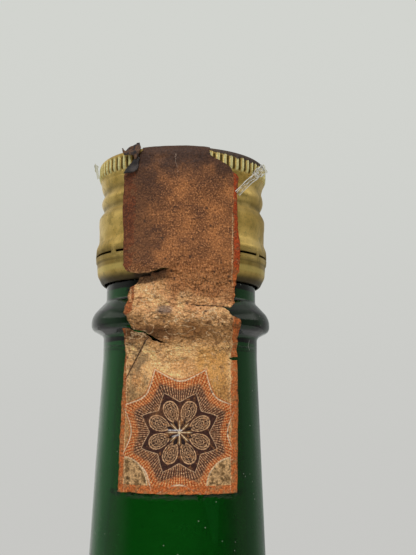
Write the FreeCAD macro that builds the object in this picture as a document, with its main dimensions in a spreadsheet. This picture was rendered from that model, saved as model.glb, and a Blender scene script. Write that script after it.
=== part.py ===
import FreeCAD, Part
import math
import os
import Sketcher

# Calvados bottle, sealed: dark glass, the drink inside it, a roll-on aluminium screw cap, a paper
# tax strip glued over the cap and down the neck, and the scraps of paper and film left at its edges.
#
# Millimetres. The origin is the centre of the ring that the bottle stands on, +Z is up, and the
# printed end of the strip faces -Y. Heights on the glass finish are drops below the glass rim, and
# heights on the cap and the strip are drops below the flat top of the cap.

NUMBERS = {
    # glass, from the foot up
    "body_radius": 42.0,
    "glass_wall": 3.0,
    "base_wall": 5.0,
    "punt_height": 12.0,
    "stand_width": 3.0,
    "heel_radius": 6.0,
    "inner_heel_radius": 4.0,
    "inner_floor": 7.0,
    "shoulder_height": 115.0,
    "shoulder_arc": 42.0,
    "neck_arc": 62.0,
    "neck_taper": 2.63,
    "rim_height": 299.5,
    "taper_below_cap": 13.1,
    "bore_drop": 15.0,
    "headspace": 81.5,
    "fill_gap": 0.1,
    # glass ring round the neck, under the cap
    "neck_step": 0.37,
    "ring_out": 2.33,
    "ring_below_cap": 6.6,
    "ring_flat": 0.4,
    "ring_top_arc": 3.0,
    "ring_under_arc": 1.3,
    "ring_fillet": 0.9,
    "ring_slope": 43.0,
    "ring_wrap": 30.0,
    # glass finish, inside the cap: it follows the cap's radius inwards
    "bead_gap": 0.65,
    "bead_lip": 1.07,
    "bead_bottom_rise": 2.9,
    "bead_top_rise": 6.9,
    "bead_chamfer": 0.8,
    "finish_wall": 4.0,
    "rim_rounding": 0.8,
    "thread_pitch": 3.175,
    "thread_turns": 1.75,
    "thread_depth": 0.95,
    "thread_foot": 1.5,
    "thread_tip": 0.6,
    "thread_drop": 8.6,
    # screw cap: the knurled crown sets the closure's size, and the rest steps in or out from it. A
    # rise is the height above the cap's foot, whose place the cap's height sets
    "cap_wall": 0.4,
    "seal_gap": 0.1,
    "cap_gap": 0.12,
    "cap_height": 23.5,
    "crown_radius": 16.1,
    "crown_rounding": 1.5,
    "knurl_bottom": 3.5,
    "knurl_count": 72,
    "flute_radius": 0.55,
    "flute_depth": 0.25,
    "waist_in": 0.6,
    "waist_top": 4.1,
    "waist_bottom": 10.3,
    "groove_radius": 0.9,
    "groove_depth": 0.5,
    "groove_turns": 1.9,
    "skirt_in": 0.35,
    "skirt_top": 10.9,
    "skirt_bottom_rise": 8.2,
    "band_out": 0.15,
    "band_top_rise": 6.9,
    "band_bottom_rise": 2.6,
    "slit_rise": 5.2,
    "slit_height": 0.4,
    "slit_count": 10,
    "bridge_angle": 3.6,
    "first_bridge": 27.5,
    "crease_rise": 4.0,
    "crease_depth": 0.15,
    "crease_width": 0.6,
    "roll_arc": 3.0,
    # paper tax strip
    "paper": 0.3,
    "paper_gap": 0.05,
    "strip_width": 22.4,
    "strip_shift": 0.2,
    "strip_foot_inset": 0.2,
    "strip_end": 60.1,
    "strip_back_end": 60.1,
    "strip_band_rise": 2.9,
    "strip_settle_below_cap": 11.1,
    "tear_start": 5.0,
    # paper scraps at the strip's torn upper left corner
    "flap_azimuth": -34.0,
    "flap_width": 2.6,
    "flap_lean": 0.5,
    "flap_drop": 2.4,
    "flap_height": 2.6,
    "curl_azimuth": -37.0,
    "curl_length": 3.8,
    "curl_radius": 1.2,
    "curl_lean": 50.0,
    "curl_tip": -2.0,
    # scraps of clear film
    "film": 0.12,
    "right_film_azimuth": 52.0,
    "left_film_azimuth": -72.0,
}

# The strip's torn front outline, chosen by hand: how far each corner is inside the straight edge of
# the paper, and how far it is below the top of the cap. Both lists run downwards.
LEFT_EDGE = [(3.3, -1.0), (3.5, 0.8), (1.8, 2.8), (0.1, 4.7), (0.0, 11.0), (0.3, 16.6), (0.6, 21.2),
             (1.6, 22.5), (4.3, 22.9), (7.4, 22.1), (8.3, 22.3), (7.2, 23.9), (3.2, 24.5),
             (1.4, 25.3), (1.5, 27.5), (0.7, 29.6), (1.6, 30.8), (2.1, 32.3), (4.5, 33.0),
             (5.9, 34.1), (8.6, 34.8), (5.9, 34.5), (4.4, 33.4), (0.6, 32.6), (1.0, 35.2),
             (0.9, 37.7), (0.5, 44.9), (0.3, 52.0)]
RIGHT_EDGE = [(5.2, -1.0), (5.1, 1.7), (2.4, 2.9), (0.4, 4.6), (0.1, 5.1), (0.4, 8.5), (0.0, 17.0),
              (0.1, 22.1), (0.5, 23.7), (0.9, 26.0), (0.8, 27.7), (1.6, 28.6), (3.0, 28.6),
              (1.5, 29.8), (-0.4, 30.6), (-0.5, 31.8), (0.4, 33.8), (0.2, 36.9), (1.6, 37.3),
              (0.2, 37.7), (0.1, 44.7)]

# The film scraps, flat on their planes: along the plane to the right, and the drop below the cap top.
RIGHT_FILM = [(-4.0, 8.0), (-3.9, 6.4), (-1.2, 3.9), (1.2, 2.6), (3.4, 1.2), (6.6, 0.9), (6.4, 1.7),
              (4.6, 2.6), (1.6, 4.9), (-1.4, 6.6)]
LEFT_FILM = [(-0.9, 4.2), (-1.2, 1.8), (-2.6, 1.2), (-3.4, 2.2), (-3.1, 3.6), (-2.0, 4.4)]


doc = FreeCAD.newDocument("CalvadosBottle")
sheet = doc.addObject("Spreadsheet::Sheet", "Sizes")
for row, (alias, number) in enumerate(NUMBERS.items(), 1):
    sheet.set(f"A{row}", str(number))
    sheet.setAlias(f"A{row}", alias)
doc.recompute()


class Size:
    """A number together with the sheet expression that gives it, so that both stay the same."""

    def __init__(self, value, text):
        self.value = value
        self.text = text

    @staticmethod
    def of(other):
        return other if isinstance(other, Size) else Size(float(other), f"{other:.6f}")

    def join(self, sign, other, value):
        return Size(value, f"({self.text} {sign} {other.text})")

    def __add__(self, other):
        other = Size.of(other)
        return self.join("+", other, self.value + other.value)

    def __sub__(self, other):
        other = Size.of(other)
        return self.join("-", other, self.value - other.value)

    def __mul__(self, other):
        other = Size.of(other)
        return self.join("*", other, self.value * other.value)

    def __truediv__(self, other):
        other = Size.of(other)
        return self.join("/", other, self.value / other.value)

    def __radd__(self, other):
        return Size.of(other) + self

    def __rsub__(self, other):
        return Size.of(other) - self

    def __rmul__(self, other):
        return Size.of(other) * self

    def __neg__(self):
        return Size(-self.value, f"(-{self.text})")


def cos(angle):
    return Size(math.cos(math.radians(angle.value)), f"cos({angle.text})")


def sin(angle):
    return Size(math.sin(math.radians(angle.value)), f"sin({angle.text})")


class Sizes:
    """Every named size, as s.name."""

    def __init__(self):
        for name, number in NUMBERS.items():
            setattr(self, name, Size(float(number), f"Sizes.{name}"))


s = Sizes()
ZERO = Size(0.0, "0")
cap_top = s.rim_height + s.seal_gap + s.cap_wall
skirt_bottom = s.cap_height - s.skirt_bottom_rise
band_top = s.cap_height - s.band_top_rise
band_bottom = s.cap_height - s.band_bottom_rise
slit_drop = s.cap_height - s.slit_rise
crease_drop = s.cap_height - s.crease_rise
bead_bottom = s.cap_height - s.bead_bottom_rise
bead_top = s.cap_height - s.bead_top_rise
ring_drop = s.cap_height + s.ring_below_cap
strip_band_end = s.cap_height - s.strip_band_rise
strip_settle = s.cap_height + s.strip_settle_below_cap
neck_top = s.rim_height - s.cap_height - s.taper_below_cap
neck_slope = sin(s.neck_taper) / cos(s.neck_taper)
waist_radius = s.crown_radius - s.waist_in
skirt_radius = s.crown_radius - s.skirt_in
band_radius = s.crown_radius + s.band_out
thread_crest = waist_radius - s.cap_wall - s.cap_gap
finish_radius = thread_crest - s.thread_depth
bore_radius = finish_radius - s.finish_wall
bead_radius = band_radius - s.cap_wall - s.bead_gap
upper_neck_radius = bead_radius - s.bead_lip
neck_radius = upper_neck_radius + s.neck_step
ring_radius = neck_radius + s.ring_out
punt_radius = s.body_radius - s.heel_radius - s.stand_width


class Corner:
    """A corner of an outline, and the edge that leaves it: straight, or an arc of that radius.

    turn is 1 for an arc that runs anticlockwise and -1 for a clockwise one. A loose corner is only
    a first guess, which tangency moves to its place. At a smooth corner the two edges are tangent.
    A heading is the angle of a straight edge that leaves a corner for a loose one, or arrives from it.
    """

    def __init__(self, across, up, arc=None, turn=0, loose=False, smooth=False, heading=None):
        self.across = across
        self.up = up
        self.arc = arc
        self.turn = turn
        self.loose = loose
        self.smooth = smooth
        self.heading = heading
        self.point = FreeCAD.Vector(across.value, up.value, 0)


def arc_centre(start, end, radius):
    """The centre of the anticlockwise arc, of less than half a turn, between two points."""
    chord = end - start
    reach = math.sqrt(max(radius ** 2 - chord.Length ** 2 / 4, 0.0))
    left = FreeCAD.Vector(-chord.y, chord.x, 0).normalize()
    return (start + end) * 0.5 + left * reach


def add_edge(sketch, corner, following):
    """Adds the edge from one corner to the next; returns its number and the ids of its two ends."""
    start = corner.point
    end = following.point
    if corner.arc is None:
        return sketch.addGeometry(Part.LineSegment(start, end), False), 1, 2
    if corner.turn < 0:
        start, end = end, start
    centre = arc_centre(start, end, corner.arc.value)
    first = math.atan2(start.y - centre.y, start.x - centre.x)
    last = math.atan2(end.y - centre.y, end.x - centre.x)
    circle = Part.Circle(centre, FreeCAD.Vector(0, 0, 1), corner.arc.value)
    number = sketch.addGeometry(Part.ArcOfCircle(circle, first, last), False)
    return (number, 1, 2) if corner.turn > 0 else (number, 2, 1)


def dimension(kind, members, size):
    """A dimension, and the expression that its number comes from."""
    return Sketcher.Constraint(kind, *members, size.value), size.text


def held(kind, axis, edge, end, size):
    """Holds a point at a distance from the origin, or on an axis where the distance is nothing."""
    if abs(size.value) < 1e-9:
        return Sketcher.Constraint("PointOnObject", edge, end, axis), None
    if size.value > 0:
        return dimension(kind, (-1, 1, edge, end), size)
    return dimension(kind, (edge, end, -1, 1), -size)


def constrain(sketch, links):
    """Adds the constraints together, so that the outline is solved once, from where it was drawn."""
    first = sketch.ConstraintCount
    sketch.addConstraint([constraint for constraint, _ in links])
    for number, (_, text) in enumerate(links, first):
        if text is not None:
            sketch.setExpression(f"Constraints[{number}]", text)


def draw(sketch, corners):
    """Draws a closed outline and ties each of its corners and arcs to the sheet."""
    count = len(corners)
    edges = [add_edge(sketch, corners[i], corners[(i + 1) % count]) for i in range(count)]
    links = []
    for i, corner in enumerate(corners):
        number, begin, _ = edges[i]
        before, _, finish = edges[i - 1]
        joint = "Tangent" if corner.smooth else "Coincident"
        links.append((Sketcher.Constraint(joint, before, finish, number, begin), None))
        if corner.arc is not None:
            links.append(dimension("Radius", (number,), corner.arc))
        if corner.heading is not None:
            links.append(dimension("Angle", (number,), corner.heading))
        if not corner.loose:
            links.append(held("DistanceX", -2, number, begin, corner.across))
            links.append(held("DistanceY", -1, number, begin, corner.up))
    constrain(sketch, links)


def draw_circle(sketch, across, up, radius):
    middle = FreeCAD.Vector(across.value, up.value, 0)
    upright = FreeCAD.Vector(0, 0, 1)
    number = sketch.addGeometry(Part.Circle(middle, upright, radius.value), False)
    constrain(sketch, [
        held("DistanceX", -2, number, 3, across),
        held("DistanceY", -1, number, 3, up),
        dimension("Radius", (number,), radius),
    ])


def new_body(label):
    body = doc.addObject("PartDesign::Body", label)
    body.Label = label
    return body


def new_sketch(body, name, role, offset=None):
    """A sketch on one of the body's own origin planes, moved off it along its normal by offset."""
    sketch = body.newObject("Sketcher::SketchObject", name)
    plane = next(part for part in body.Origin.OriginFeatures if part.Role == role)
    sketch.AttachmentSupport = [(plane, "")]
    sketch.MapMode = "FlatFace"
    if offset is not None:
        sketch.setExpression("AttachmentOffset.Base.z", offset.text)
    return sketch


def spin(body, name, kind, sketch):
    """A Revolution or a Groove round the upright axis."""
    feature = body.newObject(f"PartDesign::{kind}", name)
    feature.Profile = sketch
    feature.ReferenceAxis = (sketch, ["V_Axis"])
    feature.Angle = 360
    doc.recompute()
    return feature


def push(body, name, kind, sketch, length, reverse=False, both_ways=False):
    """A Pad or a Pocket."""
    feature = body.newObject(f"PartDesign::{kind}", name)
    feature.Profile = sketch
    feature.setExpression("Length", length.text)
    feature.Reversed = reverse
    feature.Midplane = both_ways
    doc.recompute()
    return feature


def coil(body, name, kind, sketch, turns):
    """A right-handed helix of the thread's pitch, climbing from the sketch."""
    feature = body.newObject(f"PartDesign::{kind}", name)
    feature.Profile = sketch
    feature.ReferenceAxis = (sketch, ["V_Axis"])
    feature.Mode = "pitch-turns-angle"
    feature.setExpression("Pitch", s.thread_pitch.text)
    feature.setExpression("Turns", turns.text)
    feature.Angle = 0
    feature.LeftHanded = False
    feature.Reversed = False
    doc.recompute()
    return feature


def ring_of(body, name, feature, count):
    """Repeats a cut evenly round the upright axis."""
    pattern = body.newObject("PartDesign::PolarPattern", name)
    pattern.Originals = [feature]
    axis = next(part for part in body.Origin.OriginFeatures if part.Role == "Z_Axis")
    pattern.Axis = (axis, [""])
    pattern.Angle = 360
    pattern.setExpression("Occurrences", count.text)
    body.Tip = pattern
    doc.recompute()
    return pattern


def shoulder_guess(inset):
    """First guesses for the ends of the neck's arc: below it, the shoulder; above it, the neck."""
    shoulder = s.shoulder_arc.value - inset
    hollow = s.neck_arc.value + inset
    taper = math.radians(s.neck_taper.value)
    outward = FreeCAD.Vector(math.cos(taper), math.sin(taper), 0)
    down = FreeCAD.Vector(math.sin(taper), -math.cos(taper), 0)
    top = FreeCAD.Vector(neck_radius.value, neck_top.value, 0) - outward * inset
    low = FreeCAD.Vector(s.body_radius.value - s.shoulder_arc.value, s.shoulder_height.value, 0)
    reach = top + outward * hollow - low
    along = reach.dot(down)
    slide = -along - math.sqrt(along ** 2 - reach.dot(reach) + (shoulder + hollow) ** 2)
    centre = top + outward * hollow + down * slide
    towards = (centre - low).normalize()
    return low + towards * shoulder, centre - outward * hollow


def loose(point, **edge):
    """A smooth corner that tangency puts in its place, near that point."""
    return Corner(Size.of(point.x), Size.of(point.y), loose=True, smooth=True, **edge)


def dome_radius(half_width, rise):
    return (half_width * half_width + rise * rise) / (rise * 2)


def inner_neck(inset):
    """The upper end of the tapered neck's inner face, inset from the outer face."""
    return (neck_radius - inset * cos(s.neck_taper), neck_top - inset * sin(s.neck_taper))


def inner_wall(inset, floor_gap):
    """The inside from the neck down to the middle of the floor, that far inside the outer face."""
    join, neck_end = shoulder_guess(inset.value)
    wall = s.body_radius - inset
    floor = s.inner_floor + floor_gap
    heel = s.inner_heel_radius
    apex = s.punt_height + s.base_wall + floor_gap
    return [
        Corner(*inner_neck(inset), heading=s.neck_taper - 90),
        loose(neck_end, arc=s.neck_arc + inset, turn=1),
        loose(join, arc=s.shoulder_arc - inset, turn=-1),
        Corner(wall, s.shoulder_height, smooth=True),
        Corner(wall, floor + heel, heel, -1),
        Corner(wall - heel, floor, dome_radius(wall - heel, apex - floor), 1),
        Corner(ZERO, apex),
    ]


def glass_section():
    """The wall of the bottle, from the punt out and up to the rim and back down inside."""
    join, neck_end = shoulder_guess(0.0)
    ring_low = s.rim_height - ring_drop - s.ring_flat
    ring_high = s.rim_height - ring_drop
    underside = ring_low - s.ring_under_arc
    slope_radius = ring_radius - s.ring_top_arc * (1 - cos(s.ring_slope))
    slope_height = ring_high + s.ring_top_arc * sin(s.ring_slope)
    slope_rise = (slope_radius - upper_neck_radius) * cos(s.ring_slope) / sin(s.ring_slope)
    bead_low = s.rim_height - bead_bottom
    bead_high = s.rim_height - bead_top
    rim = s.rim_rounding
    return [
        Corner(ZERO, s.punt_height, dome_radius(punt_radius, s.punt_height), -1),
        Corner(punt_radius, ZERO),
        Corner(s.body_radius - s.heel_radius, ZERO, s.heel_radius, 1),
        Corner(s.body_radius, s.heel_radius),
        Corner(s.body_radius, s.shoulder_height, s.shoulder_arc, 1, smooth=True),
        loose(join, arc=s.neck_arc, turn=-1),
        loose(neck_end, heading=90 + s.neck_taper),
        Corner(neck_radius, neck_top),
        Corner(neck_radius, underside - s.ring_fillet, s.ring_fillet, -1),
        Corner(neck_radius + s.ring_fillet, underside),
        Corner(ring_radius - s.ring_under_arc, underside, s.ring_under_arc, 1),
        Corner(ring_radius, ring_low),
        Corner(ring_radius, ring_high, s.ring_top_arc, 1),
        Corner(slope_radius, slope_height),
        Corner(upper_neck_radius, slope_height + slope_rise),
        Corner(upper_neck_radius, bead_low),
        Corner(bead_radius, bead_low + s.bead_chamfer),
        Corner(bead_radius, bead_high - s.bead_chamfer),
        Corner(finish_radius, bead_high),
        Corner(finish_radius, s.rim_height - rim, rim, 1),
        Corner(finish_radius - rim, s.rim_height),
        Corner(bore_radius + rim, s.rim_height, rim, 1),
        Corner(bore_radius, s.rim_height - rim),
        Corner(bore_radius, s.rim_height - s.bore_drop),
        *inner_wall(s.glass_wall, ZERO),
    ]


def thread_section(back, crest, foot, tip):
    """A blunt thread tooth; its middle is where the lowest turn passes the back of the bottle."""
    middle = s.rim_height - s.thread_drop
    return [
        Corner(back, middle - foot / 2),
        Corner(crest, middle - tip / 2),
        Corner(crest, middle + tip / 2),
        Corner(back, middle + foot / 2),
    ]


def make_bottle():
    body = new_body("glass_bottle")
    sketch = new_sketch(body, "GlassSection", "XZ_Plane")
    draw(sketch, glass_section())
    spin(body, "GlassTurned", "Revolution", sketch)
    tooth = new_sketch(body, "ThreadTooth", "YZ_Plane")
    root = finish_radius - s.cap_gap
    draw(tooth, thread_section(root, thread_crest, s.thread_foot, s.thread_tip))
    coil(body, "Thread", "AdditiveHelix", tooth, s.thread_turns)
    return body


def make_drink():
    body = new_body("drink")
    level = s.rim_height - s.headspace
    inset = s.glass_wall + s.fill_gap
    inside_neck, neck_height = inner_neck(inset)
    level_radius = inside_neck + (neck_height - level) * neck_slope
    sketch = new_sketch(body, "DrinkSection", "XZ_Plane")
    below = inner_wall(inset, s.fill_gap)[1:]
    edge = Corner(level_radius, level, heading=s.neck_taper - 90)
    draw(sketch, [Corner(ZERO, level), edge, *below])
    spin(body, "DrinkTurned", "Revolution", sketch)
    return body


def cap_section():
    """The drawn shell of the cap, from the middle of its top out and down, and back inside."""
    wall = s.cap_wall
    crown_inside = s.crown_radius - s.flute_depth - wall
    inner_rounding = s.crown_rounding - wall
    thread_inside = waist_radius - s.groove_depth - wall
    crease_half = s.crease_width / 2
    lip = upper_neck_radius + s.cap_gap
    foot = cap_top - s.cap_height
    lower_band = band_radius - s.crease_depth
    return [
        Corner(ZERO, cap_top),
        Corner(s.crown_radius - s.crown_rounding, cap_top, s.crown_rounding, -1),
        Corner(s.crown_radius, cap_top - s.crown_rounding),
        Corner(s.crown_radius, cap_top - s.knurl_bottom),
        Corner(waist_radius, cap_top - s.waist_top),
        Corner(waist_radius, cap_top - s.waist_bottom),
        Corner(skirt_radius, cap_top - s.skirt_top),
        Corner(skirt_radius, cap_top - skirt_bottom),
        Corner(band_radius, cap_top - band_top),
        Corner(band_radius, cap_top - crease_drop + crease_half),
        Corner(lower_band - s.crease_depth, cap_top - crease_drop),
        Corner(lower_band, cap_top - crease_drop - crease_half),
        Corner(lower_band, cap_top - band_bottom, s.roll_arc, -1),
        Corner(lip + wall, foot),
        Corner(lip, foot),
        Corner(lip, foot + wall, s.roll_arc, 1),
        Corner(lower_band - wall, cap_top - band_bottom),
        Corner(band_radius - wall, cap_top - crease_drop + wall),
        Corner(band_radius - wall, cap_top - band_top - wall),
        Corner(skirt_radius - wall, cap_top - skirt_bottom - wall),
        Corner(skirt_radius - wall, cap_top - s.skirt_top - wall),
        Corner(thread_inside, cap_top - s.waist_bottom - wall),
        Corner(thread_inside, cap_top - s.waist_top - wall),
        Corner(crown_inside, cap_top - s.knurl_bottom),
        Corner(crown_inside, cap_top - wall - inner_rounding, inner_rounding, 1),
        Corner(crown_inside - inner_rounding, cap_top - wall),
        Corner(ZERO, cap_top - wall),
    ]


def cut_flutes(body):
    sketch = new_sketch(body, "Flute", "XY_Plane", cap_top - s.knurl_bottom)
    reach = s.crown_radius - s.flute_depth + s.flute_radius
    draw_circle(sketch, reach, ZERO, s.flute_radius)
    flute = push(body, "FluteCut", "Pocket", sketch, s.knurl_bottom + s.cap_wall, reverse=True)
    ring_of(body, "Flutes", flute, s.knurl_count)


def cut_slits(body):
    """The broken ring of slits that the cap tears along when it is first opened."""
    sketch = new_sketch(body, "Slit", "XZ_Plane")
    turn = FreeCAD.Rotation(FreeCAD.Vector(0, 1, 0), s.first_bridge.value)
    sketch.AttachmentOffset = FreeCAD.Placement(FreeCAD.Vector(), turn)
    sketch.setExpression("AttachmentOffset.Rotation.Angle", s.first_bridge.text)
    inside = band_radius - s.cap_wall * 2
    outside = band_radius + s.cap_wall
    low = cap_top - slit_drop - s.slit_height / 2
    high = low + s.slit_height
    draw(sketch, [Corner(inside, low), Corner(outside, low), Corner(outside, high),
                  Corner(inside, high)])
    slit = body.newObject("PartDesign::Groove", "SlitCut")
    slit.Profile = sketch
    slit.ReferenceAxis = (sketch, ["V_Axis"])
    slit.setExpression("Angle", (Size.of(360) / s.slit_count - s.bridge_angle).text)
    doc.recompute()
    ring_of(body, "Slits", slit, s.slit_count)


def make_cap():
    body = new_body("screw_cap")
    sketch = new_sketch(body, "CapSection", "XZ_Plane")
    draw(sketch, cap_section())
    spin(body, "CapTurned", "Revolution", sketch)
    # inside: room for the glass thread
    inner = new_sketch(body, "ThreadRoom", "YZ_Plane")
    back = waist_radius - s.groove_depth - s.cap_wall * 2
    crest = thread_crest + s.cap_gap
    room = s.cap_gap * 2
    draw(inner, thread_section(back, crest, s.thread_foot + room, s.thread_tip + room))
    coil(body, "ThreadRoomCut", "SubtractiveHelix", inner, s.thread_turns)
    # outside: the groove that is rolled in between the turns of that thread
    outer = new_sketch(body, "RolledGroove", "YZ_Plane")
    start = s.rim_height - s.thread_drop - s.thread_pitch / 2
    reach = waist_radius - s.groove_depth + s.groove_radius
    draw_circle(outer, reach, start, s.groove_radius)
    coil(body, "RolledGrooveCut", "SubtractiveHelix", outer, s.groove_turns)
    cut_slits(body)
    cut_flutes(body)
    return body


def strip_stations():
    """Where the paper's inner face lies: radius, height, and which way its thickness goes."""
    gap = s.paper_gap
    ring_low = s.rim_height - ring_drop - s.ring_flat
    under_reach = s.ring_under_arc + gap
    end = cap_top - s.strip_end
    drop_below_taper = neck_top - end
    return [
        (ZERO, cap_top + gap, 0, 1),
        (s.crown_radius - s.crown_rounding, cap_top + gap, 0, 1),
        (s.crown_radius + gap, cap_top - s.crown_rounding, 1, 0),
        (band_radius + gap, cap_top - band_top, 1, 0),
        (band_radius + gap, cap_top - strip_band_end, 1, 0),
        (ring_radius + gap, ring_low + s.ring_flat, 1, 0),
        (ring_radius + gap, ring_low, 1, 0),
        (ring_radius - s.ring_under_arc + under_reach * cos(s.ring_wrap),
         ring_low - under_reach * sin(s.ring_wrap), 1, 0),
        (neck_radius + gap, cap_top - strip_settle, 1, 0),
        (neck_radius + gap, neck_top, 1, 0),
        (neck_radius + gap + drop_below_taper * neck_slope, end, 1, 0),
    ]


def strip_section():
    """The paper's section: down its outer face from the middle of the cap and back up inside."""
    outer = []
    inner = []
    for i, (radius, height, out, up) in enumerate(strip_stations()):
        over = Corner(radius + s.paper * out, height + s.paper * up)
        below = Corner(radius, height)
        if i == 0:
            over = Corner(ZERO, height + s.paper * up)
        if i == 1:
            over.arc, over.turn = s.crown_rounding + s.paper_gap + s.paper, -1
        if i == 2:
            below.arc, below.turn = s.crown_rounding + s.paper_gap, 1
        outer.append(over)
        inner.append(below)
    return outer + inner[::-1]


def block(left, right, low, high):
    """A rectangle, as corners."""
    return [Corner(left, low), Corner(right, low), Corner(right, high), Corner(left, high)]


def strip_outline():
    """The front of the strip as it is torn, anticlockwise from its lower left corner."""
    reach = band_radius + s.paper
    bend = Size.of(math.degrees(1.0))
    half = reach * sin(s.strip_width / 2 / reach * bend)
    left_line = s.strip_shift - half
    right_line = s.strip_shift + half
    left = [Corner(left_line + inset, cap_top - drop) for inset, drop in LEFT_EDGE]
    right = [Corner(right_line - inset, cap_top - drop) for inset, drop in RIGHT_EDGE]
    foot = cap_top - s.strip_end
    return [Corner(left_line + s.strip_foot_inset, foot), Corner(right_line, foot),
            *right[::-1], *left]


def make_strip():
    body = new_body("tax_strip")
    sketch = new_sketch(body, "StripSection", "XZ_Plane")
    draw(sketch, strip_section())
    spin(body, "StripTurned", "Revolution", sketch)
    # cut the turned skin down to the width of the paper
    far = ring_radius * 2
    high = cap_top + s.cap_height
    low = cap_top - s.strip_end * 2
    half = s.strip_width / 2
    sides = new_sketch(body, "StripSides", "XZ_Plane")
    draw(sides, block(half + s.strip_shift, far, low, high))
    draw(sides, block(-far, s.strip_shift - half, low, high))
    push(body, "StripSidesCut", "Pocket", sides, far * 2, both_ways=True)
    # the torn front outline, cut from just in front of the middle outwards
    front = new_sketch(body, "StripFront", "XZ_Plane", s.tear_start)
    draw(front, block(-far, far, low, high))
    draw(front, strip_outline())
    push(body, "StripFrontCut", "Pocket", front, far, reverse=True)
    back = new_sketch(body, "StripBack", "XZ_Plane")
    draw(back, block(-far, far, low, cap_top - s.strip_back_end))
    push(body, "StripBackCut", "Pocket", back, far)
    return body


def stand_round(body, azimuth):
    """Turns a body about the bottle's axis, so that what it has at -Y goes to that azimuth."""
    upright = FreeCAD.Vector(0, 0, 1)
    body.Placement = FreeCAD.Placement(FreeCAD.Vector(), FreeCAD.Rotation(upright, azimuth.value))
    body.setExpression("Placement.Rotation.Angle", azimuth.text)


def make_flap():
    """The corner of the strip that has come loose and is folded back on itself."""
    body = new_body("torn_flap")
    lift = band_radius + s.paper_gap * 2 + s.paper
    sketch = new_sketch(body, "FlapOutline", "XZ_Plane", lift)
    high = cap_top - s.flap_drop
    low = high - s.flap_height
    half = s.flap_width / 2
    lean = s.flap_lean
    draw(sketch, [Corner(-half - lean, low), Corner(half - lean * 3, low), Corner(half, high),
                  Corner(lean - half, high)])
    push(body, "FlapPlate", "Pad", sketch, s.paper)
    stand_round(body, s.flap_azimuth)
    return body


def make_curl():
    """A torn end of paper that has curled up on the rounded edge of the cap."""
    body = new_body("torn_curl")
    outer = s.curl_radius + s.paper
    reach = s.crown_rounding + s.paper_gap + outer
    out = s.crown_radius - s.crown_rounding + reach * cos(s.curl_lean)
    up = cap_top - s.crown_rounding + reach * sin(s.curl_lean)
    wide = cos(s.curl_tip)
    deep = sin(s.curl_tip)
    inner = s.curl_radius
    sketch = new_sketch(body, "CurlSection", "YZ_Plane")
    draw(sketch, [
        Corner(-out - outer * wide, up - outer * deep, outer, 1),
        Corner(-out + outer * wide, up - outer * deep),
        Corner(-out + inner * wide, up - inner * deep, inner, -1),
        Corner(-out - inner * wide, up - inner * deep),
    ])
    push(body, "CurlLength", "Pad", sketch, s.curl_length, both_ways=True)
    stand_round(body, s.curl_azimuth)
    return body


def make_film(label, outline, azimuth):
    """A stiff scrap of film that stands off the cap along its tangent."""
    body = new_body(label)
    lift = s.crown_radius + s.paper_gap * 2
    sketch = new_sketch(body, "FilmOutline", "XZ_Plane", lift)
    draw(sketch, [Corner(Size.of(along), cap_top - drop) for along, drop in outline])
    push(body, "FilmPlate", "Pad", sketch, s.film)
    stand_round(body, azimuth)
    return body


parts = [
    make_bottle(),
    make_drink(),
    make_cap(),
    make_strip(),
    make_flap(),
    make_curl(),
    make_film("film_scrap_right", RIGHT_FILM, s.right_film_azimuth),
    make_film("film_scrap_left", LEFT_FILM, s.left_film_azimuth),
]
doc.recompute()

for item in doc.Objects:
    if "Invalid" in item.State or "Error" in item.State:
        raise RuntimeError(f"{item.Label} did not build: {item.State}")
for part in parts:
    if part.Shape.isNull() or not part.Shape.isValid():
        raise RuntimeError(f"{part.Label} has no valid shape")

os.makedirs("parts", exist_ok=True)
for part in parts:
    part.Shape.exportStep(f"parts/{part.Label}.step")
    solids = len(part.Shape.Solids)
    print(f"{part.Label}: {solids} solid, {part.Shape.Volume / 1000:.3f} ml")
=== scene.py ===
import math

import bmesh
import bpy
from bpy.props import FloatProperty, FloatVectorProperty, IntProperty, PointerProperty
from mathutils import Color, Matrix, Vector, noise


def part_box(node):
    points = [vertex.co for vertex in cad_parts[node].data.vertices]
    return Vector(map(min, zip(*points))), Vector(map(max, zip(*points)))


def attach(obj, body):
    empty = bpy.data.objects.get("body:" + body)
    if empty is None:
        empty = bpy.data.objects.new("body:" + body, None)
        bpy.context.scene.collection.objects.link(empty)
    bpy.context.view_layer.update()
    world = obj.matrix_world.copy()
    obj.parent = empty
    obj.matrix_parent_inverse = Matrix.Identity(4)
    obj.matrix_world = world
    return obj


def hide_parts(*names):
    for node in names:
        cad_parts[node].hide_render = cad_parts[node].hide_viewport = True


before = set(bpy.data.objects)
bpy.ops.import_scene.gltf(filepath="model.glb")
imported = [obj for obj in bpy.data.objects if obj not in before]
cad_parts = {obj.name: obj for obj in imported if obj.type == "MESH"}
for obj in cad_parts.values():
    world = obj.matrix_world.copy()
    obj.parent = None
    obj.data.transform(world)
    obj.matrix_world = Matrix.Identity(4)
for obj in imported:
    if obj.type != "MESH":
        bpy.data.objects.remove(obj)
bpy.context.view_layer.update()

bl_info = {
    "name": "Calvados Bottle",
    "version": (1, 0, 0),
    "blender": (4, 5, 0),
    "location": "View3D > Sidebar > Bottle",
    "description": "Dresses a sealed green glass bottle with its cap, paper strip and film",
    "category": "Object",
}

MM = 0.001
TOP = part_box("screw_cap")[1][2] / MM
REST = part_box("glass_bottle")[0][2] / MM
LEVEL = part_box("drink")[1][2] / MM
# Heights and drops below the cap's top, in millimetres.
TAPER_TOP = 262.6
SLIT_DROP = 18.275
LIP_DROP = 22.95
SCRATCH_DROP = 34.7
MOULD_DROP = 35.1
BORDER_DROP = 58.75
STRIP_DROP = 60.1
GLUE_DROP = 61.3
GLUE_EDGE_DROP = 62.6


def shade(red, green, blue):
    """A screen colour of 0 to 255 as the linear colour that a shader takes."""
    def linear(level):
        level = level / 255
        return level / 12.92 if level <= 0.04045 else ((level + 0.055) / 1.055) ** 2.4
    return (linear(red), linear(green), linear(blue))


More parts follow.
